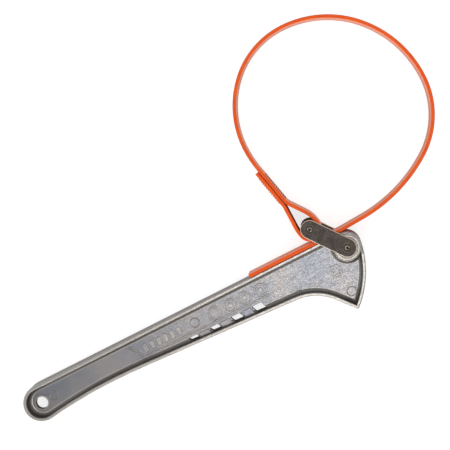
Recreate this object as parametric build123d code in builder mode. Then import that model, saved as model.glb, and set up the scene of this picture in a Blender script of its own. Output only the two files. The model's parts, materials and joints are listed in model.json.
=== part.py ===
"""Oil filter strap wrench: cast I-beam handle, pivoting side-plate link and a sewn belt strap.

Frame: the tool lies flat on a bench, +Z up out of the bench. The origin is the centre of the
hanging hole at mid-thickness, +X runs along the straight top edge towards the head, and +Y
points from the handle towards the strap loop. Millimetres throughout.
"""
from build123d import *
from math import acos, cos, degrees, radians, sin, sqrt
import os

os.makedirs("parts", exist_ok=True)

# ---- handle casting ----
pivot_x = 279.5           # hanging hole to pivot bore, along the handle
pivot_y = 2.3             # pivot bore above the hanging hole
top_y = 15.5              # straight top edge, the face the strap tail lies on
flange_wall = 2.6         # flange thickness at the rim
web_thickness = 5.0       # plate between the flanges
web_fillet = 3.3          # root radius where the web meets the flanges
rim_round = 0.9           # outer rim edge radius
rim_break = 0.4           # inner rim edge chamfer
end_radius = 14.9         # rounded hanging end
end_x = 1.6               # centre of the rounded end
end_slope = 8.6           # degrees the underside rises from there
waist_x = 64.4            # slimmest place of the grip
waist_depth = 25.25       # top edge to the underside there
grip_x = 102.4            # from here the underside runs straight to the heel
grip_depth = 26.5
heel_x = 55.1             # heel, back from the pivot
heel_depth = 32.7
throat_x = 27.1           # end of the heel's hollow curve, back from the pivot
throat_depth = 46.6
toe_run = 19.6            # straight run from there to the toe's tip
toe_round = 1.8
nose_radius = 12.5        # rounded nose that the strap leaves over
nose_x = -0.5             # nose centre from the pivot
nose_end_angle = -9.0     # where the nose runs into the pressing face
hang_hole_radius = 5.1
hang_lip_radius = 6.6     # raised lip round the hanging hole
hang_lip_height = 0.6

# ---- pivot boss ----
boss_radius = 11.2        # solid boss through the head
pad_radius = 10.0         # machined bearing pad on each side of the boss
pad_break = 0.3
boss_corner = 5.0         # pocket corner between boss and top flange
face_corner = 3.6         # pocket corners at the pressing face and in the toe

# ---- link ----
link_length = 33.2        # pivot to strap rivet
plate_width = 15.0
plate_thickness = 2.5
plate_break = 0.45        # edge chamfer of the plates
plate_clearance = 0.15    # bearing pad to plate, each side
plate_gap = 0.55          # belt edge to plate, each side
rivet_radius = 2.8
rivet_head_radius = 3.5   # staked flush into a countersink
rivet_head_depth = 0.8
rivet_clearance = 0.05    # rivet in the spacer sleeves
punch_radius = 1.3        # centre punch mark of the staking tool
punch_depth = 0.45
pivot_sleeve_radius = 5.0
bore_clearance = 0.05     # pivot sleeve in the handle's bore
strap_sleeve_radius = 6.6

# ---- strap ----
strap_width = 27.0
strap_thickness = 3.0
strap_overhang = 0.5      # the belt stands this far over each side of the flange
strap_gap = 0.3           # clearance of the belt to what it runs round or lies beside
tail_length = 80.0        # free end lying on the top flange
seam_lean = 13.0          # degrees the sewn seam leans away from the handle
seam_offset = -2.1        # seam plane from the strap rivet, across the seam
seam_top = 61.0           # cut end of the folded layer, from the strap rivet
ply_gap = 0.2             # between the two sewn layers
eye_side = 2.0            # straight side of the eye above the rivet
eye_bow = 28.0            # bend radius where the eye closes
eye_root = 12.0           # bend radius where the layers part
outer_turn = 24.0         # degrees the loop side of the eye turns
folded_turn = 12.0        # degrees the folded side turns
stitch_bottom = 31.0      # first stitch, from the strap rivet
stitch_pitch = 2.15
stitches_per_row = 12
stitch_rows = 4
stitch_row_pitch = 6.6
stitch_length = 1.7
thread_diameter = 0.8

# ---- strap loop, round an absent filter ----
lift_bend = 60.0          # bend radius where the strap lifts off the nose
lift_angle = 3.5          # degrees it rises
lift_run = 18.5           # straight run beyond the nose
loop_right = (115.5, 93.0)    # back of the belt at the far side, from the pivot
loop_top = (31.4, 180.2)
loop_left = (-38.4, 106.8)

# ---- raised marks on the web ----
mark_height = 0.45
rib_width = 0.9
window_top = -6.9         # upper edge of the windows
window_first = 131.6      # left edge of the first window
window_pitch = 19.1
window_widths = (7.2, 7.2, 7.9, 8.4)
window_shift = 2.6        # the lower edge stands this far to the right of the upper one
window_wall = 0.15        # sliver of root kept at the flange
land_margin = 1.6         # raised land between two windows keeps this far from them
land_height = 1.2
rib_y = -4.2              # long rib above the windows
rib_start = 91.5
rib_end = 210.0
slant_top = (82.8, 8.1)   # upper end of the slanted pair of ribs
slant_gap = 2.0
mark_y = 2.1              # centre line of the row of marks
bar_count = 6             # plain upright bars
bar_first = 97.0
bar_pitch = 6.1
bar_width = 3.4
bar_height = 6.8
bar_corner = 1.5
hexagon_x = 160.1
medal_x = (174.3, 187.3, 201.6)
medal_radius = 5.2
medal_hub = 1.8
date_mark = (-16.8, -14.0)    # from the pivot
date_dots = 6
ejector_marks = ((11.6, 1.0), (142.0, 2.3))
toe_mark = (-12.8, -33.8)     # ejector ring in the toe, from the pivot
ejector_radius = 4.0

# ---- derived ----
half_depth = strap_width / 2 - strap_overhang
half_web = web_thickness / 2
plate_inner = strap_width / 2 + plate_gap
pad_height = plate_inner - plate_clearance - half_depth
plate_outer = plate_inner + plate_thickness
eye_radius = strap_sleeve_radius + strap_gap + strap_thickness / 2
strap_pin_y = top_y + strap_thickness + strap_gap + eye_radius + strap_thickness / 2
strap_pin_x = pivot_x - sqrt(link_length**2 - (strap_pin_y - pivot_y) ** 2)
link_angle = degrees(acos((strap_pin_x - pivot_x) / link_length))
ply_step = (strap_thickness + ply_gap) / 2
main_ply = seam_offset + ply_step
folded_ply = seam_offset - ply_step
date_place = (pivot_x + date_mark[0], pivot_y + date_mark[1])
ejector_places = (*ejector_marks, (pivot_x + toe_mark[0], pivot_y + toe_mark[1]))

web_front = Plane.XY.offset(half_web)
seam_plane = Plane(
    origin=(strap_pin_x, strap_pin_y, -strap_width / 2),
    x_dir=(cos(radians(seam_lean)), sin(radians(seam_lean)), 0),
    z_dir=(0, 0, 1),
)


def heading(angle):
    """Unit vector at an angle in degrees."""
    return (cos(radians(angle)), sin(radians(angle)))


def biarc(start, start_angle, end, end_angle):
    """Two tangent arcs from one point and heading to another."""
    p0, p1 = Vector(*start), Vector(*end)
    t0, t1 = Vector(*heading(start_angle)), Vector(*heading(end_angle))
    span, sums = p1 - p0, t0 + t1
    square = 2 * (1 - t0.dot(t1))
    linear = 2 * span.dot(sums)
    reach = (-linear + sqrt(linear**2 + 4 * square * span.dot(span))) / (2 * square)
    middle = (p0 + t0 * reach + p1 - t1 * reach) * 0.5
    first = TangentArc(p0, middle, tangent=t0)
    TangentArc(middle, p1, tangent=first % 1)


def underside(x):
    """Height of the handle's straight underside run at x, between grip and heel."""
    slope = (grip_depth - heel_depth) / (pivot_x - heel_x - grip_x)
    return top_y - grip_depth + slope * (x - grip_x)


# Handle: one aluminium die casting, an I-beam with a solid boss at the pivot.
end_centre = (end_x, top_y - end_radius)
end_corner = (end_x + end_radius * sin(radians(end_slope)),
              top_y - end_radius - end_radius * cos(radians(end_slope)))
nose_centre = (pivot_x + nose_x, top_y - nose_radius)

with BuildSketch() as outline:
    with BuildLine():
        top = Line((end_x, top_y), (nose_centre[0], top_y))
        end = ThreePointArc(top @ 0, (end_x - end_radius, end_centre[1]), end_corner)
        to_waist = TangentArc(end @ 1, (waist_x, top_y - waist_depth), tangent=heading(end_slope))
        to_grip = TangentArc(to_waist @ 1, (grip_x, top_y - grip_depth), tangent=to_waist % 1)
        belly = Line(to_grip @ 1, (pivot_x - heel_x, top_y - heel_depth))
        hollow = TangentArc(belly @ 1, (pivot_x - throat_x, top_y - throat_depth), tangent=belly % 1)
        to_toe = PolarLine(hollow @ 1, toe_run, direction=hollow % 1)
        nose = CenterArc(nose_centre, nose_radius, 90, nose_end_angle - 90)
        TangentArc(nose @ 1, to_toe @ 1, tangent=nose % 1)
    make_face()
    fillet(outline.vertices().sort_by(Axis.Y)[0], toe_round)

with BuildSketch() as pocket:
    add(outline.sketch)
    offset(amount=-flange_wall, kind=Kind.INTERSECTION, mode=Mode.REPLACE)
    with Locations((pivot_x, pivot_y)):
        Circle(boss_radius, mode=Mode.SUBTRACT)
        Rectangle(4 * boss_radius, 2 * top_y, align=(Align.MIN, Align.MIN), mode=Mode.SUBTRACT)
    boss_corners = pocket.vertices().sort_by_distance((pivot_x, pivot_y))[:2].sort_by(Axis.X)
    toe_corner = pocket.vertices().sort_by(Axis.Y)[0]
    fillet(boss_corners[0], boss_corner)
    fillet([boss_corners[1], toe_corner], face_corner)

with BuildPart() as handle:
    add(outline.sketch)
    extrude(amount=half_depth, both=True)
    with BuildSketch(web_front):
        add(pocket.sketch)
    extrude(amount=half_depth - half_web, mode=Mode.SUBTRACT)
    with BuildSketch(Plane.XY.offset(-half_web)):
        add(pocket.sketch)
    extrude(amount=-(half_depth - half_web), mode=Mode.SUBTRACT)
    flat_faces = handle.faces().filter_by(Plane.XY).sort_by(Axis.Z)
    web_faces = flat_faces[1:3]
    rim_faces = [flat_faces[0], flat_faces[-1]]
    outer_rims = [edge for face in rim_faces for edge in face.outer_wire().edges()]
    inner_rims = [edge for face in rim_faces for edge in face.inner_wires()[0].edges()]
    fillet([edge for face in web_faces for edge in face.outer_wire().edges()], web_fillet)
    fillet(outer_rims, rim_round)
    chamfer(inner_rims, rim_break)

    # Bearing pads on both sides of the boss, and the lip round the hanging hole.
    for side in (1, -1):
        with BuildSketch(Plane.XY.offset(side * half_depth)):
            with Locations((pivot_x, pivot_y)):
                Circle(pad_radius)
        extrude(amount=side * pad_height)
        with BuildSketch(Plane.XY.offset(side * half_web)):
            Circle(hang_lip_radius)
        extrude(amount=side * hang_lip_height)
    pad_faces = handle.faces().filter_by(Plane.XY).sort_by(Axis.Z)
    chamfer(pad_faces[0].edges() + pad_faces[-1].edges(), pad_break)
    with Locations((pivot_x, pivot_y, 0)):
        Cylinder(pivot_sleeve_radius + bore_clearance, 4 * plate_outer, mode=Mode.SUBTRACT)
    Cylinder(hang_hole_radius, 4 * half_web, mode=Mode.SUBTRACT)

    # Slanted windows beside the lower flange, with raised lands between them.
    for index, width in enumerate(window_widths):
        left = window_first + index * window_pitch
        low_left = left + window_shift
        low_right = low_left + width
        with BuildSketch():
            Polygon(
                (left, window_top),
                (left + width, window_top),
                (low_right, underside(low_right) + flange_wall + window_wall),
                (low_left, underside(low_left) + flange_wall + window_wall),
                align=None,
            )
        extrude(amount=half_depth, both=True, mode=Mode.SUBTRACT)
        if index:
            land_right = left - land_margin
            land_left = left - window_pitch + window_widths[index - 1] + land_margin
            with BuildSketch():
                Polygon(
                    (land_left, window_top),
                    (land_right, window_top),
                    (land_right + window_shift, underside(land_right) + flange_wall / 2),
                    (land_left + window_shift, underside(land_left) + flange_wall / 2),
                    align=None,
                )
            extrude(amount=half_web + land_height, both=True)

    # Cast marks on the front of the web: a long rib, a slanted pair and plain medallions.
    with BuildSketch(web_front):
        with Locations(((rib_start + rib_end) / 2, rib_y)):
            Rectangle(rib_end - rib_start, rib_width)
        for step in (0, slant_gap):
            Polygon(
                (slant_top[0] + step, slant_top[1]),
                (slant_top[0] + step + rib_width, slant_top[1]),
                (rib_start + step + rib_width, rib_y),
                (rib_start + step, rib_y),
                align=None,
            )
        for index in range(bar_count):
            with Locations((bar_first + index * bar_pitch, mark_y)):
                RectangleRounded(bar_width, bar_height, bar_corner)
        with Locations(*[(x, mark_y) for x in medal_x], date_place):
            Circle(medal_radius)
            Circle(medal_radius - rib_width, mode=Mode.SUBTRACT)
        with Locations(*[(x, mark_y) for x in medal_x]):
            Circle(medal_hub)
        with Locations(date_place):
            with PolarLocations(medal_radius / 2, date_dots):
                Circle(rib_width / 2)
        with Locations((hexagon_x, mark_y)):
            RegularPolygon(medal_radius + rib_width, 6)
            RegularPolygon(medal_radius, 6, mode=Mode.SUBTRACT)
        with Locations(*ejector_places):
            Circle(ejector_radius)
            Circle(ejector_radius - rib_width / 2, mode=Mode.SUBTRACT)
    extrude(amount=mark_height)

    # Ejector rings alone on the rear of the web.
    with BuildSketch(Plane.XY.offset(-half_web)):
        with Locations(*ejector_places):
            Circle(ejector_radius)
            Circle(ejector_radius - rib_width / 2, mode=Mode.SUBTRACT)
    extrude(amount=-mark_height)
handle.part.label = "handle"
export_step(handle.part, "parts/handle.step")

# Link: two pill-shaped steel plates, one on each side of the boss and the strap eye.
link_centre = ((pivot_x + strap_pin_x) / 2, (pivot_y + strap_pin_y) / 2)
link_pins = ((pivot_x, pivot_y), (strap_pin_x, strap_pin_y))


def add_link_plate(side):
    """One link plate on the +Z (1) or -Z (-1) side, countersunk on its outer face."""
    with BuildPart() as plate:
        with BuildSketch(Plane.XY.offset(side * plate_inner)):
            with Locations(Location(link_centre, link_angle)):
                SlotCenterToCenter(link_length, plate_width)
        extrude(amount=side * plate_thickness)
        faces = plate.faces().filter_by(Plane.XY)
        chamfer([edge for face in faces for edge in face.edges()], plate_break)
        with BuildSketch(Plane.XY.offset(side * plate_inner)):
            with Locations(*link_pins):
                Circle(rivet_radius)
        extrude(amount=side * plate_thickness, mode=Mode.SUBTRACT)
        for pin in link_pins:
            with Locations((*pin, side * (plate_outer - rivet_head_depth / 2))):
                Cone(
                    rivet_radius if side > 0 else rivet_head_radius,
                    rivet_head_radius if side > 0 else rivet_radius,
                    rivet_head_depth,
                    mode=Mode.SUBTRACT,
                )
    return plate.part


for side, name in ((1, "link_plate_front"), (-1, "link_plate_rear")):
    plate_part = add_link_plate(side)
    plate_part.label = name
    export_step(plate_part, f"parts/{name}.step")

# Rivets: plain shanks staked flush into both plates, with a punch mark in each end.
# Spacer sleeves: clamped between the plates by the rivets.
for name, pin, sleeve_radius in (
    ("pivot", link_pins[0], pivot_sleeve_radius),
    ("strap", link_pins[1], strap_sleeve_radius),
):
    with BuildPart() as rivet:
        with BuildSketch(Plane.XZ.offset(-pin[1])):
            with BuildLine():
                Polyline(
                    (pin[0], -plate_outer + punch_depth),
                    (pin[0] + punch_radius, -plate_outer),
                    (pin[0] + rivet_head_radius, -plate_outer),
                    (pin[0] + rivet_radius, -plate_outer + rivet_head_depth),
                    (pin[0] + rivet_radius, plate_outer - rivet_head_depth),
                    (pin[0] + rivet_head_radius, plate_outer),
                    (pin[0] + punch_radius, plate_outer),
                    (pin[0], plate_outer - punch_depth),
                    close=True,
                )
            make_face()
        revolve(axis=Axis((*pin, 0), (0, 0, 1)))
    rivet.part.label = f"{name}_rivet"
    export_step(rivet.part, f"parts/{name}_rivet.step")

    with BuildPart() as sleeve:
        with BuildSketch(Plane.XY.offset(-plate_inner)):
            with Locations(pin):
                Circle(sleeve_radius)
                Circle(rivet_radius + rivet_clearance, mode=Mode.SUBTRACT)
        extrude(amount=2 * plate_inner)
    sleeve.part.label = f"{name}_sleeve"
    export_step(sleeve.part, f"parts/{name}_sleeve.step")


# Strap eye: the belt's end wrapped round the strap sleeve and folded back beside itself.
# Its outline runs down the folded layer, round the sleeve and up the loop side.
def eye_branch(shift, turn):
    """Straight run and height of one side of the eye, moved sideways by shift over two bends."""
    bend = radians(turn)
    run = (shift - (eye_bow + eye_root) * (1 - cos(bend))) / sin(bend)
    return run, eye_side + (eye_bow + eye_root) * sin(bend) + run * cos(bend)


half_strap = strap_thickness / 2
folded_run, folded_root = eye_branch(folded_ply + eye_radius, folded_turn)
outer_run, outer_root = eye_branch(eye_radius - main_ply, outer_turn)

with BuildPart() as eye:
    with BuildSketch(seam_plane):
        with BuildLine():
            fold = Line((folded_ply - half_strap, seam_top), (folded_ply - half_strap, folded_root))
            part_left = JernArc(fold @ 1, (0, -1), eye_root - half_strap, -folded_turn)
            run_left = PolarLine(part_left @ 1, folded_run, angle=270 - folded_turn)
            close_left = JernArc(run_left @ 1, run_left % 1, eye_bow + half_strap, folded_turn)
            side_left = Line(close_left @ 1, (-eye_radius - half_strap, 0))
            wrap = JernArc(side_left @ 1, (0, -1), eye_radius + half_strap, 180)
            side_right = Line(wrap @ 1, (eye_radius + half_strap, eye_side))
            close_right = JernArc(side_right @ 1, (0, 1), eye_bow + half_strap, outer_turn)
            run_right = PolarLine(close_right @ 1, outer_run, angle=90 + outer_turn)
            part_right = JernArc(run_right @ 1, run_right % 1, eye_root - half_strap, -outer_turn)
            Line(part_right @ 1, (main_ply + half_strap, seam_top))
            offset(amount=strap_thickness, side=Side.LEFT)
        make_face()
    extrude(amount=strap_width)
eye.part.label = "strap_eye"
export_step(eye.part, "parts/strap_eye.step")

# Strap loop: from the nose round the far side to the top of the sewn seam.
seam_end = seam_plane.from_local_coords(Vector(main_ply - half_strap, seam_top, 0))
right = (pivot_x + loop_right[0], pivot_y + loop_right[1])
crown = (pivot_x + loop_top[0], pivot_y + loop_top[1])
left = (pivot_x + loop_left[0], pivot_y + loop_left[1])

with BuildPart() as loop:
    with BuildSketch(Plane.XY.offset(-strap_width / 2)):
        with BuildLine():
            lift = JernArc((pivot_x + strap_gap / 2, top_y), (1, 0), lift_bend, lift_angle)
            rise = PolarLine(lift @ 1, lift_run, angle=lift_angle)
            biarc(rise @ 1, lift_angle, right, 90)
            biarc(right, 90, crown, 180)
            biarc(crown, 180, left, 270)
            biarc(left, 270, (seam_end.X, seam_end.Y), 270 + seam_lean)
            offset(amount=strap_thickness, side=Side.LEFT)
        make_face()
    extrude(amount=strap_width)
loop.part.label = "strap_loop"
export_step(loop.part, "parts/strap_loop.step")

# Strap tail: the free end, flat on the top flange with a square cut.
with BuildPart() as tail:
    with Locations((pivot_x - strap_gap / 2, top_y, 0)):
        Box(tail_length, strap_thickness, strap_width, align=(Align.MAX, Align.MIN, Align.CENTER))
tail.part.label = "strap_tail"
export_step(tail.part, "parts/strap_tail.step")

# Stitching: rows of raised stitches on both faces of the sewn seam.
with BuildPart() as stitching:
    for row in range(stitch_rows):
        row_height = (row - (stitch_rows - 1) / 2) * stitch_row_pitch
        with BuildSketch(seam_plane.offset(strap_width / 2 + row_height - thread_diameter / 2)):
            for face_a, out in ((main_ply + half_strap, 1), (folded_ply - half_strap, -1)):
                for index in range(stitches_per_row):
                    low = stitch_bottom + index * stitch_pitch
                    with BuildLine():
                        crest = (face_a + out * thread_diameter / 2, low + stitch_length / 2)
                        bump = ThreePointArc((face_a, low), crest, (face_a, low + stitch_length))
                        Line(bump @ 1, bump @ 0)
                    make_face()
        extrude(amount=thread_diameter)
stitching.part.label = "stitching"
export_step(stitching.part, "parts/stitching.step")
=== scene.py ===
import json
import math
import random
import bpy
import numpy as np
from mathutils import Matrix, Vector


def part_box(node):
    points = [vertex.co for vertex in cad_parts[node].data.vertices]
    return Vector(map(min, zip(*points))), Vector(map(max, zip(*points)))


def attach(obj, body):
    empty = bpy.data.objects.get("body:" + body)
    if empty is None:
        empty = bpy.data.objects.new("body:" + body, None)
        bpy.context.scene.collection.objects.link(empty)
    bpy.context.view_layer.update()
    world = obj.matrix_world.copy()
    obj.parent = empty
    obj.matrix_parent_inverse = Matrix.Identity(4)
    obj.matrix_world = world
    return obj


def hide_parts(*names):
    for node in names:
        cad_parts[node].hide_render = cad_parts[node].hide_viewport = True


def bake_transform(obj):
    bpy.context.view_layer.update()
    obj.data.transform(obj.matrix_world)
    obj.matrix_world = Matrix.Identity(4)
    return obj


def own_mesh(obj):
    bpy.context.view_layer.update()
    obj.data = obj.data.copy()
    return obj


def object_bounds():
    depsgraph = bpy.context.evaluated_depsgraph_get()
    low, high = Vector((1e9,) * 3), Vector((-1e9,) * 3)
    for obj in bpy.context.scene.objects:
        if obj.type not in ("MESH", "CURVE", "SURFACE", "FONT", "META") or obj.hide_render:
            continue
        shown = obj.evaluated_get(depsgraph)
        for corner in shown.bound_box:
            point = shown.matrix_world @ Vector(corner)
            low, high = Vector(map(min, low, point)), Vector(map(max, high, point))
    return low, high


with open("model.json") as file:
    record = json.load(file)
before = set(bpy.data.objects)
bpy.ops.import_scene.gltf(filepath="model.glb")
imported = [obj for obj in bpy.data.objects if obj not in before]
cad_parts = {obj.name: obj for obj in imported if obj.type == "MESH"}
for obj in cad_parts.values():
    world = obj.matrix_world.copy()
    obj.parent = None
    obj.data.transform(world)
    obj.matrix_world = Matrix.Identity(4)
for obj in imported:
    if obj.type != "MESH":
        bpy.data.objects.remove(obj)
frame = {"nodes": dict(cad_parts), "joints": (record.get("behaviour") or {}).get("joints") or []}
cadLow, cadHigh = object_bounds()
nodes = frame["nodes"]
joints = {joint["name"]: joint for joint in frame["joints"]}
mm = 0.001
pivot = Vector(joints["link_pivot"]["pos_m"]) / mm       # everything on the belt is worked out in mm
strapPin = Vector(joints["strap_swing"]["pos_m"]) / mm
print("frame loaded:", len(nodes), "parts")


def colour(red, green, blue):     # 0-255 as a colour picker shows it
    steps = [c / 255 for c in (red, green, blue)]
    return tuple(c / 12.92 if c < 0.04 else ((c + 0.055) / 1.055) ** 2.4 for c in steps) + (1.0,)


def addNode(tree, kind, inputs=None, **settings):
    node = tree.nodes.new(kind)
    for key, value in settings.items():
        setattr(node, key, value)
    for key, value in (inputs or {}).items():
        if isinstance(value, bpy.types.NodeSocket):
            tree.links.new(value, node.inputs[key])
        else:
            node.inputs[key].default_value = value
    return node


def mathNode(tree, operation, first, second=0.0, clamp=False):
    node = addNode(tree, "ShaderNodeMath", {0: first, 1: second}, operation=operation, use_clamp=clamp)
    return node.outputs[0]


def times(tree, first, second):
    return mathNode(tree, "MULTIPLY", first, second)


def plus(tree, first, second):
    return mathNode(tree, "ADD", first, second)


def splitAxes(tree, vector):
    return addNode(tree, "ShaderNodeSeparateXYZ", {0: vector}).outputs


def surfaceNormal(tree):
    return addNode(tree, "ShaderNodeNewGeometry").outputs["Normal"]


def objectPlace(tree):
    return addNode(tree, "ShaderNodeTexCoord").outputs["Object"]


def storedPlace(tree, name):      # a position along and across a swept piece, kept on its mesh
    return addNode(tree, "ShaderNodeAttribute", {}, attribute_name=name).outputs["Vector"]


def ramp(tree, value, low, high, bottom=0.0, top=1.0):      # soft step between two levels
    inputs = {"Value": value, "From Min": low, "From Max": high, "To Min": bottom, "To Max": top}
    return addNode(tree, "ShaderNodeMapRange", inputs, interpolation_type="SMOOTHSTEP").outputs["Result"]


def mixColour(tree, factor, first, second, blend="MIX"):
    inputs = {"Factor": factor, "A": first, "B": second}
    node = addNode(tree, "ShaderNodeMix", {}, data_type="RGBA", blend_type=blend)
    for key, socket in (("Factor", node.inputs[0]), ("A", node.inputs[6]), ("B", node.inputs[7])):
        if isinstance(inputs[key], bpy.types.NodeSocket):
            tree.links.new(inputs[key], socket)
        else:
            socket.default_value = inputs[key]
    return node.outputs[2]


def noise(tree, place, scale, detail=3.0, roughness=0.55):
    inputs = {"Vector": place, "Scale": scale, "Detail": detail, "Roughness": roughness}
    return addNode(tree, "ShaderNodeTexNoise", inputs).outputs["Fac"]


def makeGroup(name, inputs, outputs):
    group = bpy.data.node_groups.new(name, "ShaderNodeTree")
    for label, kind, value in inputs:
        socket = group.interface.new_socket(name=label, in_out="INPUT", socket_type=kind)
        if value is not None:
            socket.default_value = value
    for label in outputs:
        group.interface.new_socket(name=label, in_out="OUTPUT", socket_type="NodeSocketFloat")
    return group, group.nodes.new("NodeGroupInput"), group.nodes.new("NodeGroupOutput")


def useGroup(tree, group, inputs=None):
    node = addNode(tree, "ShaderNodeGroup", {}, node_tree=group)
    for key, value in (inputs or {}).items():
        if isinstance(value, bpy.types.NodeSocket):
            tree.links.new(value, node.inputs[key])
        else:
            node.inputs[key].default_value = value
    return node.outputs


def stretched(tree, place, scale, turn=0.0):
    inputs = {"Vector": place, "Scale": scale, "Rotation": (0, 0, turn)}
    return addNode(tree, "ShaderNodeMapping", inputs).outputs[0]


# cast or tumbled skin: big soft patches, fine grain and small pits
skin, enter, leave = makeGroup("metalSkin", [
    ("Place", "NodeSocketVector", None), ("Grain Scale", "NodeSocketFloat", 900.0),
    ("Patch Scale", "NodeSocketFloat", 40.0), ("Pits", "NodeSocketFloat", 0.5)],
    ["Patches", "Grain", "Height"])
grain = noise(skin, enter.outputs["Place"], enter.outputs["Grain Scale"], 5.0, 0.65)
patches = noise(skin, enter.outputs["Place"], enter.outputs["Patch Scale"], 4.0, 0.6)
pitScale = times(skin, enter.outputs["Grain Scale"], 0.7)
pits = addNode(skin, "ShaderNodeTexVoronoi", {"Vector": enter.outputs["Place"], "Scale": pitScale})
pitDepth = ramp(skin, pits.outputs["Distance"], 0.05, 0.32, -1.0, 0.0)
pitDepth = times(skin, pitDepth, enter.outputs["Pits"])
skin.links.new(ramp(skin, patches, 0.32, 0.68), leave.inputs["Patches"])
skin.links.new(ramp(skin, grain, 0.3, 0.7), leave.inputs["Grain"])
skin.links.new(plus(skin, grain, pitDepth), leave.inputs["Height"])

# worn edges: where a rounded edge would turn away from the face, broken up by grain, and partly a painted
# highlight; the corner output is painted shade in sheltered corners, from ambient occlusion
wearAndPaintedLight, enter, leave = makeGroup("wornEdgesAndCornerShade", [
    ("Place", "NodeSocketVector", None), ("Width", "NodeSocketFloat", 0.0004),
    ("Sharpness", "NodeSocketFloat", 0.12), ("Scale", "NodeSocketFloat", 500.0)], ["Mask", "Corner Shade"])
wearAndPaintedLight.interface.new_socket(name="Normal", in_out="OUTPUT", socket_type="NodeSocketVector")
rounded = addNode(wearAndPaintedLight, "ShaderNodeBevel", {"Radius": enter.outputs["Width"]}, samples=6).outputs["Normal"]
facing = surfaceNormal(wearAndPaintedLight)
agree = addNode(wearAndPaintedLight, "ShaderNodeVectorMath", {0: rounded, 1: facing}, operation="DOT_PRODUCT")
turning = mathNode(wearAndPaintedLight, "SUBTRACT", 1.0, agree.outputs["Value"])
turned = mathNode(wearAndPaintedLight, "DIVIDE", turning, enter.outputs["Sharpness"], True)
grain = noise(wearAndPaintedLight, enter.outputs["Place"], enter.outputs["Scale"], 4.0)
broken = ramp(wearAndPaintedLight, grain, 0.3, 0.5, 0.55, 1.0)
shelter = addNode(wearAndPaintedLight, "ShaderNodeAmbientOcclusion", {"Distance": 3 * mm}, samples=8, only_local=True)
exposed = ramp(wearAndPaintedLight, shelter.outputs["AO"], 0.55, 0.95)
wearAndPaintedLight.links.new(times(wearAndPaintedLight, times(wearAndPaintedLight, turned, broken), exposed), leave.inputs["Mask"])
# painted shade in sheltered corners: one minus the ambient occlusion
wearAndPaintedLight.links.new(mathNode(wearAndPaintedLight, "SUBTRACT", 1.0, exposed), leave.inputs["Corner Shade"])
wearAndPaintedLight.links.new(rounded, leave.inputs["Normal"])

# distance from an upright pin, and fine turned rings round it
aroundPin, enter, leave = makeGroup("aroundPin", [
    ("Place", "NodeSocketVector", None), ("Centre", "NodeSocketVector", None),
    ("Ring Scale", "NodeSocketFloat", 2500.0)], ["Radius", "Rings"])
away = addNode(aroundPin, "ShaderNodeVectorMath", {0: enter.outputs["Place"], 1: enter.outputs["Centre"]},
               operation="SUBTRACT").outputs[0]
flat = addNode(aroundPin, "ShaderNodeVectorMath", {0: away, 1: (1.0, 1.0, 0.0)}, operation="MULTIPLY")
radius = addNode(aroundPin, "ShaderNodeVectorMath", {0: flat.outputs[0]}, operation="LENGTH").outputs["Value"]
ringPlace = addNode(aroundPin, "ShaderNodeCombineXYZ", {"X": radius}).outputs[0]
aroundPin.links.new(radius, leave.inputs["Radius"])
aroundPin.links.new(noise(aroundPin, ringPlace, enter.outputs["Ring Scale"], 3.0), leave.inputs["Rings"])

# fine scratches in two directions
scratched, enter, leave = makeGroup("scratches", [
    ("Place", "NodeSocketVector", None), ("Scale", "NodeSocketFloat", 60.0),
    ("Amount", "NodeSocketFloat", 0.5)], ["Mask"])
marks = []
for turn, longer in ((0.35, 14.0), (-0.9, 10.0)):
    lines = stretched(scratched, enter.outputs["Place"], (1.0, longer, 1.0), turn)
    marks.append(ramp(scratched, noise(scratched, lines, enter.outputs["Scale"], 6.0, 0.7), 0.62, 0.74))
both = mathNode(scratched, "MAXIMUM", *marks)
scratched.links.new(times(scratched, both, enter.outputs["Amount"]), leave.inputs["Mask"])

# woven ply and thread lay: slanted ribs crossed by finer yarns
weave, enter, leave = makeGroup("slantedWeave", [
    ("Place", "NodeSocketVector", None), ("Pitch", "NodeSocketFloat", 0.0016),
    ("Slant", "NodeSocketFloat", 0.6)], ["Rib", "Yarn", "Height"])
parts = splitAxes(weave, enter.outputs["Place"])
slid = times(weave, parts["Y"], enter.outputs["Slant"])
along = mathNode(weave, "DIVIDE", plus(weave, parts["X"], slid), enter.outputs["Pitch"])
rib = mathNode(weave, "ABSOLUTE", mathNode(weave, "SINE", times(weave, along, math.pi)))
across = mathNode(weave, "DIVIDE", parts["Y"], enter.outputs["Pitch"])
yarn = mathNode(weave, "ABSOLUTE", mathNode(weave, "SINE", times(weave, across, 2.2 * math.pi)))
weave.links.new(rib, leave.inputs["Rib"])
weave.links.new(yarn, leave.inputs["Yarn"])
weave.links.new(plus(weave, times(weave, rib, 0.7), times(weave, yarn, 0.3)), leave.inputs["Height"])


def newMaterial(name):
    material = bpy.data.materials.new(name)
    material.use_nodes = True
    tree = material.node_tree
    return material, tree, tree.nodes["Principled BSDF"]


def addBump(tree, shader, height, strength, distance, under=None):
    inputs = {"Height": height, "Strength": strength, "Distance": distance * mm}
    bump = addNode(tree, "ShaderNodeBump", inputs)
    if under is not None:
        tree.links.new(under, bump.inputs["Normal"])
    tree.links.new(bump.outputs["Normal"], shader.inputs["Normal"])


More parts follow.
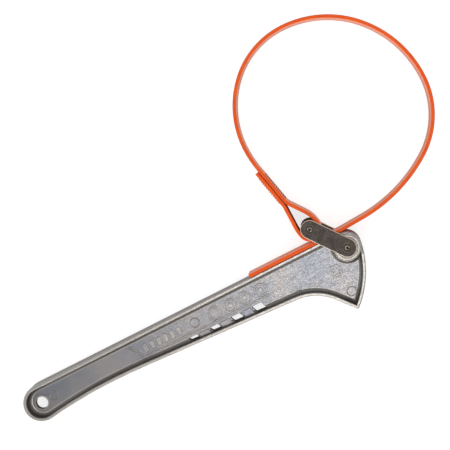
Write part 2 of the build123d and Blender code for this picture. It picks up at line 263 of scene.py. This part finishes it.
# the wall and head colours are painted shade, the outer wall and root line colours painted light; the worn
# colour is wear and partly a painted highlight
aluminium = {
    "web": colour(156, 161, 172), "patch": colour(206, 194, 182), "streak": colour(134, 135, 142),
    "rim": colour(206, 201, 196), "wearAndPaintedLight": colour(240, 228, 212), "wall": colour(122, 117, 112),
    "outerWallLight": colour(200, 198, 195), "rootHighlight": colour(236, 228, 218), "head": colour(118, 117, 118),
    "roughLow": 0.28, "roughHigh": 0.42, "rimFrom": 12.3, "headReach": 13.4, "padFrom": 9.2, "padReach": 10.0,
    "markTop": 2.62, "landTop": 3.2,                                # heights of the cast marks, in mm
    "patchMix": 0.5, "grainMix": 0.25, "streakMix": 0.16, "markMix": 0.22, "headMix": 0.8, "padHighlightMix": 0.8,
    "cornerShadeMix": 0.35, "wallShadeMix": 0.9, "rootHighlightMix": 0.8, "wornAndHighlightMetal": 0.72,
}


def between(tree, value, low, high, soft):        # 1 inside a range, soft at both ends
    return times(tree, ramp(tree, value, low - soft, low), ramp(tree, value, high, high + soft, 1.0, 0.0))


def makeAluminium():
    look = aluminium
    material, tree, shader = newMaterial("castAluminium")
    place = objectPlace(tree)
    skinOut = useGroup(tree, skin, {"Place": place, "Grain Scale": 1100.0, "Patch Scale": 26.0, "Pits": 0.35})
    edges = useGroup(tree, wearAndPaintedLight, {"Place": place, "Width": 0.45 * mm, "Sharpness": 0.1, "Scale": 300.0})
    cuts = useGroup(tree, scratched, {"Place": place, "Scale": 80.0, "Amount": 0.1})
    pin = useGroup(tree, aroundPin, {"Place": place, "Centre": pivot * mm})
    drawn = noise(tree, stretched(tree, place, (0.3, 1.0, 1.0)), 620.0, 5.0, 0.7)
    streaks = ramp(tree, drawn, 0.36, 0.7)
    lean = mathNode(tree, "ABSOLUTE", splitAxes(tree, surfaceNormal(tree))["Z"])
    height = mathNode(tree, "ABSOLUTE", splitAxes(tree, place)["Z"])
    atRim = ramp(tree, height, look["rimFrom"] * mm, (look["rimFrom"] + 0.3) * mm)
    below = mathNode(tree, "SUBTRACT", 1.0, atRim)
    # painted shade: steep walls are darkened toward the wall colour; where ambient occlusion finds them open,
    # the outer walls are painted light instead
    wall = ramp(tree, lean, 0.9, 0.985, 1.0, 0.0)
    pocket = addNode(tree, "ShaderNodeAmbientOcclusion", {"Distance": 20 * mm}, samples=6, only_local=True)
    litOuterWall = times(tree, wall, ramp(tree, pocket.outputs["AO"], 0.72, 0.92))
    # painted highlight: a thin bright line where the web turns into the fillet
    rootHighlight = times(tree, between(tree, lean, 0.988, 0.9985, 0.0006), below)
    # painted shade: the head's rim round the pivot is darkened
    nearPin = ramp(tree, pin["Radius"], (look["headReach"] - 1) * mm, look["headReach"] * mm, 1.0, 0.0)
    atHead = times(tree, atRim, nearPin)
    # painted highlight: a bright ring at the edge of the pivot pad
    padEdgeHighlight = between(tree, pin["Radius"], look["padFrom"] * mm, look["padReach"] * mm, 0.3 * mm)
    onMark = times(tree, between(tree, height, look["markTop"] * mm, look["landTop"] * mm, 0.1 * mm), lean)
    base = mixColour(tree, times(tree, skinOut["Patches"], look["patchMix"]), look["web"], look["patch"])
    base = mixColour(tree, times(tree, skinOut["Grain"], look["grainMix"]), base, look["streak"])
    base = mixColour(tree, times(tree, streaks, look["streakMix"]), base, look["streak"])
    base = mixColour(tree, times(tree, onMark, look["markMix"]), base, look["wearAndPaintedLight"])
    base = mixColour(tree, atRim, base, look["rim"])
    base = mixColour(tree, times(tree, atHead, look["headMix"]), base, look["head"])
    base = mixColour(tree, times(tree, times(tree, atHead, padEdgeHighlight), look["padHighlightMix"]), base, look["wearAndPaintedLight"])
    # painted shade in sheltered corners, in the wall colour
    base = mixColour(tree, times(tree, edges["Corner Shade"], look["cornerShadeMix"]), base, look["wall"])
    # painted shade on steep walls, then painted light on the open outer walls
    base = mixColour(tree, times(tree, wall, look["wallShadeMix"]), base, look["wall"])
    base = mixColour(tree, litOuterWall, base, look["outerWallLight"])
    # worn edges, partly a painted highlight, and scratches, in the worn colour
    edge = times(tree, edges["Mask"], below)
    base = mixColour(tree, mathNode(tree, "MAXIMUM", edge, cuts["Mask"]), base, look["wearAndPaintedLight"])
    # painted highlight along the web's root
    base = mixColour(tree, times(tree, rootHighlight, look["rootHighlightMix"]), base, look["rootHighlight"])
    tree.links.new(base, shader.inputs["Base Color"])
    uneven = plus(tree, skinOut["Grain"], times(tree, streaks, 0.4))
    rough = ramp(tree, uneven, 0.1, 1.3, look["roughLow"], look["roughHigh"])
    tree.links.new(plus(tree, rough, times(tree, wall, 0.15)), shader.inputs["Roughness"])
    bareAndHighlight = mathNode(tree, "MAXIMUM", edge, rootHighlight)                  # worn edges and the root line are made less metallic so they read bright: partly wear, partly a painted highlight
    tree.links.new(ramp(tree, bareAndHighlight, 0.0, 1.0, 1.0, look["wornAndHighlightMetal"]), shader.inputs["Metallic"])
    relief = plus(tree, skinOut["Height"], times(tree, streaks, 0.1))
    relief = plus(tree, relief, times(tree, times(tree, atHead, pin["Rings"]), 1.2))
    addBump(tree, shader, relief, 0.35, 0.12, edges["Normal"])
    return material


# the worn colour serves worn edges and the painted chamfer highlight
blackSteel = {"base": colour(74, 68, 65), "fleck": colour(136, 125, 117), "patch": colour(50, 47, 46),
              "wearAndPaintedLight": colour(222, 202, 184), "rough": 0.4, "chamferLow": 0.45, "chamferHigh": 0.9,
              "grainMix": 0.7, "patchMix": 0.5, "edgeMix": 0.6, "wornAndHighlightMetal": 0.35}


def makeBlackSteel():
    look = blackSteel
    material, tree, shader = newMaterial("blackenedSteel")
    place = objectPlace(tree)
    skinOut = useGroup(tree, skin, {"Place": place, "Grain Scale": 1300.0, "Patch Scale": 190.0, "Pits": 0.6})
    edges = useGroup(tree, wearAndPaintedLight, {"Place": place, "Width": 0.7 * mm, "Sharpness": 0.1, "Scale": 420.0})
    cuts = useGroup(tree, scratched, {"Place": place, "Scale": 90.0, "Amount": 0.3})
    base = mixColour(tree, times(tree, skinOut["Grain"], look["grainMix"]), look["base"], look["fleck"])
    base = mixColour(tree, times(tree, skinOut["Patches"], look["patchMix"]), base, look["patch"])
    lean = mathNode(tree, "ABSOLUTE", splitAxes(tree, surfaceNormal(tree))["Z"])
    # painted highlight: the chamfer faces are painted bright, together with worn edges and scratches
    chamferHighlight = between(tree, lean, look["chamferLow"], look["chamferHigh"], 0.06)
    bareAndHighlight = mathNode(tree, "MAXIMUM", times(tree, edges["Mask"], look["edgeMix"]), chamferHighlight)
    bright = mathNode(tree, "MAXIMUM", bareAndHighlight, cuts["Mask"])
    tree.links.new(mixColour(tree, bright, base, look["wearAndPaintedLight"]), shader.inputs["Base Color"])
    rough = plus(tree, times(tree, skinOut["Grain"], 0.14), look["rough"])
    tree.links.new(mathNode(tree, "SUBTRACT", rough, times(tree, bright, 0.15)),
                   shader.inputs["Roughness"])
    tree.links.new(ramp(tree, bareAndHighlight, 0.0, 1.0, 0.9, look["wornAndHighlightMetal"]), shader.inputs["Metallic"])
    addBump(tree, shader, skinOut["Height"], 0.4, 0.1, edges["Normal"])
    return material


rivetSteel = {"base": colour(60, 55, 52), "fleck": colour(92, 85, 78), "bareAndHighlight": colour(214, 186, 164),
              "ringFrom": 1.15, "ringFull": 1.3, "ringFades": 1.5, "ringTo": 2.2}      # radii in mm


def makeRivetSteel(name, centre):
    material, tree, shader = newMaterial(name)
    place = objectPlace(tree)
    pin = useGroup(tree, aroundPin, {"Place": place, "Centre": centre * mm})
    radius = pin["Radius"]
    skinOut = useGroup(tree, skin, {"Place": place, "Grain Scale": 1300.0, "Patch Scale": 420.0, "Pits": 0.5})
    # lighter peening scuffs in a ring round the dimple, partly a painted highlight
    inner = ramp(tree, radius, rivetSteel["ringFrom"] * mm, rivetSteel["ringFull"] * mm)
    outer = ramp(tree, radius, rivetSteel["ringFades"] * mm, rivetSteel["ringTo"] * mm, 1.0, 0.0)
    ring = times(tree, inner, outer)
    bareAndHighlight = times(tree, ring, ramp(tree, noise(tree, place, 620.0, 2.0), 0.42, 0.56))
    base = mixColour(tree, skinOut["Grain"], rivetSteel["base"], rivetSteel["fleck"])
    tree.links.new(mixColour(tree, bareAndHighlight, base, rivetSteel["bareAndHighlight"]), shader.inputs["Base Color"])
    tree.links.new(ramp(tree, bareAndHighlight, 0.0, 1.0, 0.95, 0.5), shader.inputs["Metallic"])
    tree.links.new(ramp(tree, skinOut["Grain"], 0.0, 1.0, 0.34, 0.5), shader.inputs["Roughness"])
    addBump(tree, shader, plus(tree, skinOut["Height"], times(tree, bareAndHighlight, 1.5)), 0.6, 0.15)
    return material


sleeveSteel = {"bright": colour(168, 166, 162), "dull": colour(140, 136, 130)}


def makeSleeveSteel():
    material, tree, shader = newMaterial("turnedSteel")
    place = objectPlace(tree)
    turning = noise(tree, stretched(tree, place, (0.1, 0.1, 9.0)), 900.0, 4.0)
    skinOut = useGroup(tree, skin, {"Place": place, "Grain Scale": 1200.0, "Patch Scale": 300.0, "Pits": 0.2})
    base = mixColour(tree, skinOut["Patches"], sleeveSteel["bright"], sleeveSteel["dull"])
    tree.links.new(base, shader.inputs["Base Color"])
    tree.links.new(ramp(tree, turning, 0.3, 0.7, 0.24, 0.4), shader.inputs["Roughness"])
    shader.inputs["Metallic"].default_value = 1.0
    addBump(tree, shader, turning, 0.25, 0.05)
    return material


# the border colour is painted shade on the belt's corners and back face, and also its dark middle line
beltLook = {"orange": colour(246, 104, 16), "deep": colour(214, 60, 8), "shadeAndMidLine": colour(186, 40, 6),
            "borderFrom": 0.85, "borderTo": 1.2, "borderMix": 0.8, "cloudMix": 0.35, "lineMix": 0.3,
            "rib": colour(255, 176, 148), "valley": colour(242, 134, 100), "yarn": colour(255, 228, 214),
            "rough": 0.5}


def makeBeltBody():
    material, tree, shader = newMaterial("orangeBelt")
    place = storedPlace(tree, "beltPlace")
    cloud = ramp(tree, noise(tree, place, 70.0, 4.0), 0.35, 0.65)
    plies = noise(tree, stretched(tree, place, (0.12, 0.6, 6.0)), 700.0, 3.0)
    lines = ramp(tree, plies, 0.45, 0.62)
    cuts = useGroup(tree, scratched, {"Place": place, "Scale": 110.0, "Amount": 0.18})
    base = mixColour(tree, times(tree, cloud, beltLook["cloudMix"]), beltLook["orange"], beltLook["deep"])
    base = mixColour(tree, times(tree, lines, beltLook["lineMix"]), base, beltLook["deep"])
    # painted shade: the belt's rounded corners and back face are darkened to deep red; a dark line also runs
    # along the middle of the edge
    depth = mathNode(tree, "ABSOLUTE", splitAxes(tree, place)["Z"])
    faces = ramp(tree, depth, beltLook["borderFrom"] * mm, beltLook["borderTo"] * mm)
    middle = between(tree, depth, 0.0, 0.08 * mm, 0.2 * mm)
    shadeAndMidLine = mathNode(tree, "MAXIMUM", faces, middle)
    base = mixColour(tree, times(tree, shadeAndMidLine, beltLook["borderMix"]), base, beltLook["shadeAndMidLine"])
    base = mixColour(tree, cuts["Mask"], base, beltLook["rib"])
    tree.links.new(base, shader.inputs["Base Color"])
    tree.links.new(ramp(tree, plies, 0.3, 0.7, beltLook["rough"] - 0.06, beltLook["rough"] + 0.12),
                   shader.inputs["Roughness"])
    shader.inputs["Specular IOR Level"].default_value = 0.25
    addBump(tree, shader, plus(tree, plies, noise(tree, place, 1600.0, 3.0)), 0.25, 0.08)
    return material


def makeBeltPly():
    material, tree, shader = newMaterial("wovenGripPly")
    place = storedPlace(tree, "beltPlace")
    twill = {"Place": place, "Pitch": belt["twillPitch"] * mm, "Slant": belt["twillSlant"]}
    ribs = useGroup(tree, weave, twill)
    fuzz = noise(tree, place, 2600.0, 4.0)
    base = mixColour(tree, ribs["Rib"], beltLook["valley"], beltLook["rib"])
    # whitish yarn dashes, partly a painted sheen
    light = times(tree, ramp(tree, ribs["Yarn"], 0.55, 0.95), ramp(tree, fuzz, 0.4, 0.6))
    base = mixColour(tree, times(tree, light, 0.7), base, beltLook["yarn"])
    soiled = ramp(tree, noise(tree, place, 45.0, 3.0), 0.4, 0.75, 0.0, 0.3)
    base = mixColour(tree, soiled, base, beltLook["orange"])
    tree.links.new(base, shader.inputs["Base Color"])
    tree.links.new(ramp(tree, fuzz, 0.3, 0.7, 0.6, 0.8), shader.inputs["Roughness"])
    shader.inputs["Sheen Weight"].default_value = 0.12
    shader.inputs["Specular IOR Level"].default_value = 0.2
    shader.inputs["Sheen Roughness"].default_value = 0.5
    addBump(tree, shader, plus(tree, ribs["Height"], times(tree, fuzz, 0.4)), 0.5, 0.15)
    return material


def makeThreadMaterial():
    material, tree, shader = newMaterial("waxedThread")
    place = storedPlace(tree, "threadPlace")
    lay = useGroup(tree, weave, {"Place": place, "Pitch": thread["layPitch"] * mm, "Slant": 0.5})
    base = mixColour(tree, lay["Rib"], thread["dark"], thread["light"])
    tree.links.new(base, shader.inputs["Base Color"])
    tree.links.new(ramp(tree, lay["Yarn"], 0.0, 1.0, 0.45, 0.65), shader.inputs["Roughness"])
    shader.inputs["Sheen Weight"].default_value = 0.2
    addBump(tree, shader, lay["Height"], 0.5, 0.1)
    return material


tailLow, tailHigh = (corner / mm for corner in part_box("strap_tail"))
belt = {
    "width": tailHigh.z - tailLow.z, "thickness": tailHigh.y - tailLow.y,
    "ply": 0.5, "plyInset": 0.4, "plyCorner": 0.2,      # woven ply on the grip side, a little inside the edges
    "corner": 0.5, "step": 0.4, "across": 46,
    "twillPitch": 1.6, "twillSlant": 0.6, "twillHeight": 0.09, "twillMiddle": 0.35, "twillGain": 1.3,
    "liftBend": 58.5, "liftAngle": 3.5, "liftRun": 18.5,                # over the nose
    "farSide": (115.5, 93.0), "crown": (31.4, 180.2), "nearSide": (-38.4, 106.8),    # the back, from the pivot
    "noseFrom": -11.0, "noseTo": -3.0, "liftTo": 10.0,                  # cuts between pieces, from the pivot
    "closedShare": 0.6,                 # of the loop's depth that is left when the tail is pulled
}
seam = {
    "lean": 13.0, "offset": -2.1, "top": 61.0, "plyGap": 0.2,
    "eyeSide": 2.0, "eyeBow": 28.0, "eyeRoot": 12.0, "outerTurn": 24.0, "foldedTurn": 12.0, "eyeRadius": 8.4,
    "dentDepth": 0.28, "dentAlong": 0.45, "dentAcross": 0.55,           # where the thread pulls the face in
}
thread = {"rows": 4, "rowPitch": 6.6, "perRow": 12, "first": 31.0, "pitch": 2.15, "length": 1.7,
          "radius": 0.34, "riseInner": 0.03, "riseOuter": 0.4, "sunk": 0.4, "layPitch": 0.5,
          "around": 10, "along": 12,
          "dark": colour(24, 18, 16), "light": colour(70, 52, 44), "seed": 7}

# the belt's middle line, from the tail's cut end to the folded end
route = [(tailLow.x, (tailLow.y + tailHigh.y) / 2, 0.0)]
halfBelt = belt["thickness"] / 2


def goStraight(length):
    x, y, heading = route[-1]
    count = max(1, round(length / belt["step"]))
    for part in np.arange(1, count + 1) * length / count:
        route.append((x + part * math.cos(heading), y + part * math.sin(heading), heading))


def goRound(radius, turn):        # degrees, a left turn is positive
    x, y, heading = route[-1]
    swing = radius if turn > 0 else -radius
    count = max(2, round(radius * abs(math.radians(turn)) / belt["step"]))
    for part in np.arange(1, count + 1) * math.radians(turn) / count:
        angle = heading + part
        route.append((x + swing * (math.sin(angle) - math.sin(heading)),
                      y - swing * (math.cos(angle) - math.cos(heading)), angle))


def backFace():                   # the belt's back, half a thickness to the right of the middle
    x, y, heading = route[-1]
    return Vector((x + halfBelt * math.sin(heading), y - halfBelt * math.cos(heading)))


def goTo(end, degrees):           # two tangent arcs that bring the belt's back to a point and heading
    start, endHeading = backFace(), math.radians(degrees)
    leaving = Vector((math.cos(route[-1][2]), math.sin(route[-1][2])))
    arriving = Vector((math.cos(endHeading), math.sin(endHeading)))
    span, sums = end - start, leaving + arriving
    square, slope = 2 * (1 - leaving.dot(arriving)), 2 * span.dot(sums)
    reach = (-slope + math.sqrt(slope ** 2 + 4 * square * span.dot(span))) / (2 * square)
    for target in ((start + leaving * reach + end - arriving * reach) / 2, end):
        chord = target - backFace()
        turn = 2 * ((math.atan2(chord.y, chord.x) - route[-1][2] + math.pi) % (2 * math.pi) - math.pi)
        backRadius = chord.length / (2 * abs(math.sin(turn / 2)))
        goRound(backRadius - math.copysign(halfBelt, turn), math.degrees(turn))


def onSeam(side, height):         # a point beside the sewn seam, from the strap pin
    lean = math.radians(seam["lean"])
    return Vector((strapPin.x + side * math.cos(lean) - height * math.sin(lean),
                   strapPin.y + side * math.sin(lean) + height * math.cos(lean)))


def eyeSide(shift, turn):         # straight run and top of one side of the eye
    bend = math.radians(turn)
    run = (shift - (seam["eyeBow"] + seam["eyeRoot"]) * (1 - math.cos(bend))) / math.sin(bend)
    return run, seam["eyeSide"] + (seam["eyeBow"] + seam["eyeRoot"]) * math.sin(bend) + run * math.cos(bend)


plyStep = (belt["thickness"] + seam["plyGap"]) / 2
mainPly, foldedPly = seam["offset"] + plyStep, seam["offset"] - plyStep
outerRun, outerTop = eyeSide(seam["eyeRadius"] - mainPly, seam["outerTurn"])
foldedRun, foldedTop = eyeSide(foldedPly + seam["eyeRadius"], seam["foldedTurn"])
goStraight(pivot.x - tailLow.x)
goRound(belt["liftBend"], belt["liftAngle"])
goStraight(belt["liftRun"])
goTo(pivot.xy + Vector(belt["farSide"]), 90)
goTo(pivot.xy + Vector(belt["crown"]), 180)
goTo(pivot.xy + Vector(belt["nearSide"]), 270)
goTo(onSeam(mainPly - halfBelt, seam["top"]), 270 + seam["lean"])
seamTop = len(route) - 1
goStraight(seam["top"] - outerTop)
goRound(seam["eyeRoot"], seam["outerTurn"])
goStraight(outerRun)
goRound(seam["eyeBow"], -seam["outerTurn"])
goStraight(seam["eyeSide"])
goRound(seam["eyeRadius"], -180)
goStraight(seam["eyeSide"])
goRound(seam["eyeBow"], -seam["foldedTurn"])
goStraight(foldedRun)
goRound(seam["eyeRoot"], seam["foldedTurn"])
goStraight(seam["top"] - foldedTop)
routeX, routeY, routeAngle = (np.array(column) for column in zip(*route))
routeLength = np.concatenate([[0.0], np.cumsum(np.hypot(np.diff(routeX), np.diff(routeY)))])
print("belt route:", round(routeLength[-1], 1), "mm long")


def beltProfile():                # thickness, width, and how much of the weave each point takes
    half, edge, corner = belt["thickness"] / 2, belt["width"] / 2, belt["corner"]
    face = half - belt["twillHeight"]
    shelf = half - belt["ply"]
    plyEdge = edge - belt["plyInset"]
    flatPly = plyEdge - belt["plyCorner"]
    points = [(face, w, 1.0) for w in np.linspace(-flatPly, flatPly, belt["across"])]
    upper = [(face - belt["plyCorner"] * (1 - math.cos(a)), flatPly + belt["plyCorner"] * math.sin(a), 0.0)
             for a in np.linspace(0.3, math.pi / 2, 4)]
    upper += [(shelf, plyEdge, 0.0)]
    upper += [(shelf - corner * (1 - math.cos(a)), edge - corner * (1 - math.sin(a)), 0.0)
              for a in np.linspace(0, math.pi / 2, 6)]
    upper += [((shelf - half) / 2, edge, 0.0)]
    upper += [(-half + corner * (1 - math.sin(a)), edge - corner * (1 - math.cos(a)), 0.0)
              for a in np.linspace(0, math.pi / 2, 6)]
    back = [(-half, w, 0.0) for w in np.linspace(edge - corner, corner - edge, 16)[1:-1]]
    lower = [(u, -w, ply) for u, w, ply in reversed(upper)]
    return np.array(points + upper + back + lower), len(points)


profile, plyCount = beltProfile()


def weaveHeight(along, across):
    wave = np.abs(np.sin(math.pi * (along + belt["twillSlant"] * across) / belt["twillPitch"]))
    return belt["twillHeight"] * (wave - belt["twillMiddle"]) * belt["twillGain"]


def sweepBelt(name, start, end, dents=None):
    along = np.linspace(start, end, max(2, round((end - start) / belt["step"]) + 1))
    x, y, angle = (np.interp(along, routeLength, values)[:, None] for values in (routeX, routeY, routeAngle))
    across = profile[None, :, 1]
    offset = profile[None, :, 0] + profile[None, :, 2] * weaveHeight(along[:, None], across)
    if dents is not None:
        offset = offset - dents(along[:, None], across) * (profile[None, :, 2] > 0)
    columns = [x - np.sin(angle) * offset, y + np.cos(angle) * offset, across + 0 * offset]
    points = np.stack(columns, axis=2) * mm
    rings, size = offset.shape
    index = np.arange(rings * size).reshape(rings, size)
    nextIndex = np.roll(index, -1, axis=1)
    quads = np.stack([index[:-1], nextIndex[:-1], nextIndex[1:], index[1:]], axis=2).reshape(-1, 4)
    faces = quads.tolist() + [index[0, ::-1].tolist(), index[-1].tolist()]
    mesh = bpy.data.meshes.new(name)
    mesh.from_pydata(points.reshape(-1, 3).tolist(), [], faces)
    isPly = np.zeros(size, int)
    isPly[:plyCount + 3] = 1
    isPly[-4:] = 1
    mesh.materials.append(materials["beltBody"])
    mesh.materials.append(materials["beltPly"])
    mesh.polygons.foreach_set("material_index", np.append(np.tile(isPly, rings - 1), [0, 0]))
    place = mesh.attributes.new("beltPlace", "FLOAT_VECTOR", "POINT")
    spots = np.stack([along[:, None] + 0 * offset, across + 0 * offset, offset], axis=2) * mm
    place.data.foreach_set("vector", spots.astype(np.float32).ravel())
    mesh.shade_smooth()
    mesh.set_sharp_from_angle(angle=math.radians(50))
    piece = bpy.data.objects.new(name, mesh)
    bpy.context.scene.collection.objects.link(piece)
    return piece


def stitchPlaces():               # each stitch: side of the seam, its face, row height and lower end
    for row in range(thread["rows"]):
        rowHeight = (row - (thread["rows"] - 1) / 2) * thread["rowPitch"]
        for side, face in ((1, mainPly + belt["thickness"] / 2), (-1, foldedPly - belt["thickness"] / 2)):
            for step in range(thread["perRow"]):
                yield side, face, rowHeight, thread["first"] + step * thread["pitch"]


def stitchDents(along, across):   # the thread pulls the woven face in at its holes
    depth = np.zeros(np.broadcast(along, across).shape)
    seamStart, foldedEnd = routeLength[seamTop], routeLength[-1]
    for side, face, rowHeight, low in stitchPlaces():
        for end in (low, low + thread["length"]):
            spot = seamStart + seam["top"] - end if side > 0 else foldedEnd - seam["top"] + end
            away = ((along - spot) / seam["dentAlong"]) ** 2 + ((across - rowHeight) / seam["dentAcross"]) ** 2
            depth = np.maximum(depth, seam["dentDepth"] * np.exp(-away))
    return depth


def makeThread():
    dice = random.Random(thread["seed"])
    points, places, faces = [], [], []
    for side, face, rowHeight, low in stitchPlaces():
        tilt, slide = dice.uniform(-0.12, 0.12), dice.uniform(-0.06, 0.06)
        radius = thread["radius"] * dice.uniform(0.93, 1.05)
        rise = thread["riseInner"] if side > 0 else thread["riseOuter"]
        first = len(points)
        for step in range(thread["along"] + 1):
            part = step / thread["along"]
            lift = side * ((rise + thread["sunk"]) * math.sin(math.pi * part) ** 0.6 - thread["sunk"])
            slope = math.cos(math.pi * part)
            height = low + slide + thread["length"] * part
            for turn in range(thread["around"]):
                angle = 2 * math.pi * turn / thread["around"]
                strands = 1 + 0.1 * math.cos(2 * angle + 9 * part)        # two strands laid together
                out = radius * strands * math.cos(angle)
                spot = onSeam(face + lift - side * 0.1 + side * out * 0.8, height - out * slope * 0.5)
                z = rowHeight + tilt * (part - 0.5) * 2 + radius * strands * math.sin(angle)
                points.append((spot.x * mm, spot.y * mm, z * mm))
                places.append((height * mm, angle / (2 * math.pi) * 2.6 * mm, 0.0))
        for step in range(thread["along"]):
            for turn in range(thread["around"]):
                here = first + step * thread["around"] + turn
                beside = first + step * thread["around"] + (turn + 1) % thread["around"]
                quad = [here, here + thread["around"], beside + thread["around"], beside]
                faces.append(quad if side > 0 else quad[::-1])
        last = first + thread["along"] * thread["around"]
        for start, flip in ((first, side > 0), (last, side < 0)):
            cap = list(range(start, start + thread["around"]))
            faces.append(cap if flip else cap[::-1])
    mesh = bpy.data.meshes.new("seamThread")
    mesh.from_pydata(points, [], faces)
    mesh.materials.append(materials["thread"])
    place = mesh.attributes.new("threadPlace", "FLOAT_VECTOR", "POINT")
    place.data.foreach_set("vector", np.array(places, np.float32).ravel())
    mesh.shade_smooth()
    piece = bpy.data.objects.new("seamThread", mesh)
    bpy.context.scene.collection.objects.link(piece)
    return piece


materials = {
    "aluminium": makeAluminium(), "blackSteel": makeBlackSteel(), "sleeve": makeSleeveSteel(),
    "pivotRivet": makeRivetSteel("pivotRivetSteel", pivot),
    "strapRivet": makeRivetSteel("strapRivetSteel", strapPin),
    "beltBody": makeBeltBody(), "beltPly": makeBeltPly(), "thread": makeThreadMaterial(),
}
finishes = {
    "handle": "aluminium", "link_plate_front": "blackSteel", "link_plate_rear": "blackSteel",
    "pivot_rivet": "pivotRivet", "strap_rivet": "strapRivet",
    "pivot_sleeve": "sleeve", "strap_sleeve": "sleeve",
}
for name, material in finishes.items():
    nodes[name].data.materials.clear()
    nodes[name].data.materials.append(materials[material])
print("metal finishes set")

# the belt in five stretches; the loop and the eye are attached to the strap's body
cuts = {key: pivot.x + belt[key] - tailLow.x for key in ("noseFrom", "noseTo", "liftTo")}


tail = sweepBelt("beltTail", 0.0, cuts["noseFrom"])
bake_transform(tail)
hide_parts("strap_tail")
nose = sweepBelt("beltNose", cuts["noseFrom"], cuts["noseTo"])
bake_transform(nose)
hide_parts("strap_tail")
lift = sweepBelt("beltLift", cuts["noseTo"], cuts["liftTo"])
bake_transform(lift)
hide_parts("strap_loop")
loop = sweepBelt("beltLoop", cuts["liftTo"], routeLength[seamTop])
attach(loop, "strap")
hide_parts("strap_loop")
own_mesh(loop)
eye = sweepBelt("beltEye", routeLength[seamTop], routeLength[-1], stitchDents)
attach(eye, "strap")
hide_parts("strap_eye")
stitches = makeThread()
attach(stitches, "strap")
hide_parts("stitching")
print("belt built in five stretches with", thread["rows"] * thread["perRow"] * 2, "stitches")

studio = {"floor": colour(172, 172, 172), "floorLight": colour(176, 176, 176), "floorReach": 4.0,
          "floorGlow": 0.74, "floorDrop": 0.05, "worldDiffuse": 0.85, "worldSeen": 1.0,
          "zenithGloss": 0.23, "horizonGloss": 0.85, "zenithFrom": 0.82, "horizonTo": 0.3}


def makeFloor():
    mesh = bpy.data.meshes.new("floor")
    reach, level = studio["floorReach"], cadLow.z - studio["floorDrop"] * mm
    corners = [(x * reach, y * reach, level) for x, y in ((-1, -1), (1, -1), (1, 1), (-1, 1))]
    mesh.from_pydata(corners, [], [(0, 1, 2, 3)])
    material, tree, shader = newMaterial("paleFloor")
    place = objectPlace(tree)
    tint = mixColour(tree, noise(tree, place, 6.0), studio["floor"], studio["floorLight"])
    tree.links.new(tint, shader.inputs["Base Color"])
    seen = addNode(tree, "ShaderNodeLightPath").outputs["Is Camera Ray"]      # a lit table, pale from above
    glow = mixColour(tree, seen, (0, 0, 0, 1), (1, 1, 1, 1))
    tree.links.new(glow, shader.inputs["Emission Color"])
    shader.inputs["Emission Strength"].default_value = studio["floorGlow"]
    shader.inputs["Roughness"].default_value = 0.9
    shader.inputs["Specular IOR Level"].default_value = 0.1
    mesh.materials.append(material)
    floor = bpy.data.objects.new("floor", mesh)
    bpy.context.scene.collection.objects.link(floor)


def makeWorld():
    world = bpy.data.worlds.new("studio")
    bpy.context.scene.world = world
    world.use_nodes = True
    tree = world.node_tree
    background = tree.nodes["Background"]
    path = addNode(tree, "ShaderNodeLightPath").outputs
    direction = splitAxes(tree, addNode(tree, "ShaderNodeTexCoord").outputs["Generated"])
    low = studio["horizonGloss"] - studio["worldDiffuse"]
    high = studio["zenithGloss"] - studio["worldDiffuse"]
    sheen = ramp(tree, direction["Z"], studio["horizonTo"], studio["zenithFrom"], low, high)
    glossy = times(tree, path["Is Glossy Ray"], sheen)        # metal sees a dark ceiling and pale walls
    seen = times(tree, path["Is Camera Ray"], studio["worldSeen"] - studio["worldDiffuse"])
    strength = plus(tree, plus(tree, glossy, seen), studio["worldDiffuse"])
    background.inputs["Color"].default_value = (1, 1, 1, 1)
    tree.links.new(strength, background.inputs["Strength"])


def addPanel(name, place, aim, size, power, tint=(1, 1, 1)):
    data = bpy.data.lights.new(name, "AREA")
    data.shape, data.size, data.size_y, data.energy, data.color = "RECTANGLE", size[0], size[1], power, tint
    light = bpy.data.objects.new(name, data)
    light.location = place
    light.rotation_mode = "QUATERNION"
    light.rotation_quaternion = (Vector(aim) - Vector(place)).to_track_quat("-Z", "Y")
    bpy.context.scene.collection.objects.link(light)


shot = {"over": Vector((0.302, 0.106, 1.168)), "aim": Vector((0.2009, 0.0622, 0.013)), "roll": 27.15,
        "lens": 116.5, "sensor": 36.0}


def makeCamera():
    data = bpy.data.cameras.new("camera")
    data.sensor_width, data.lens = shot["sensor"], shot["lens"]
    data.clip_start, data.clip_end = 0.01, 20.0
    camera = bpy.data.objects.new("camera", data)
    back = (shot["over"] - shot["aim"]).normalized()
    roll = math.radians(shot["roll"])
    right = Vector((math.sin(roll), math.cos(roll), 0.0)).cross(back).normalized()
    turn = Matrix((right, back.cross(right), back)).transposed().to_4x4()
    camera.matrix_world = Matrix.Translation(shot["over"]) @ turn
    bpy.context.scene.collection.objects.link(camera)
    bpy.context.scene.camera = camera


makeFloor()
makeWorld()
centre = (cadLow + cadHigh) / 2
addPanel("overhead", (0.26, -0.14, 1.7), centre, (0.55, 0.5), 2.6, (1.0, 0.99, 0.97))
addPanel("warmSpot", (-0.08, -0.2, 1.7), centre, (0.2, 0.12), 0.35, (1.0, 0.88, 0.78))
addPanel("lowSide", (-0.5, -0.8, 0.2), centre, (1.2, 0.36), 6.0, (1.0, 0.95, 0.88))
addPanel("coolEnd", (-0.9, 0.3, 1.3), centre, (0.6, 0.6), 1.5, (0.8, 0.9, 1.0))
makeCamera()
bpy.context.scene.view_settings.view_transform = "Standard"
print("studio and camera set")
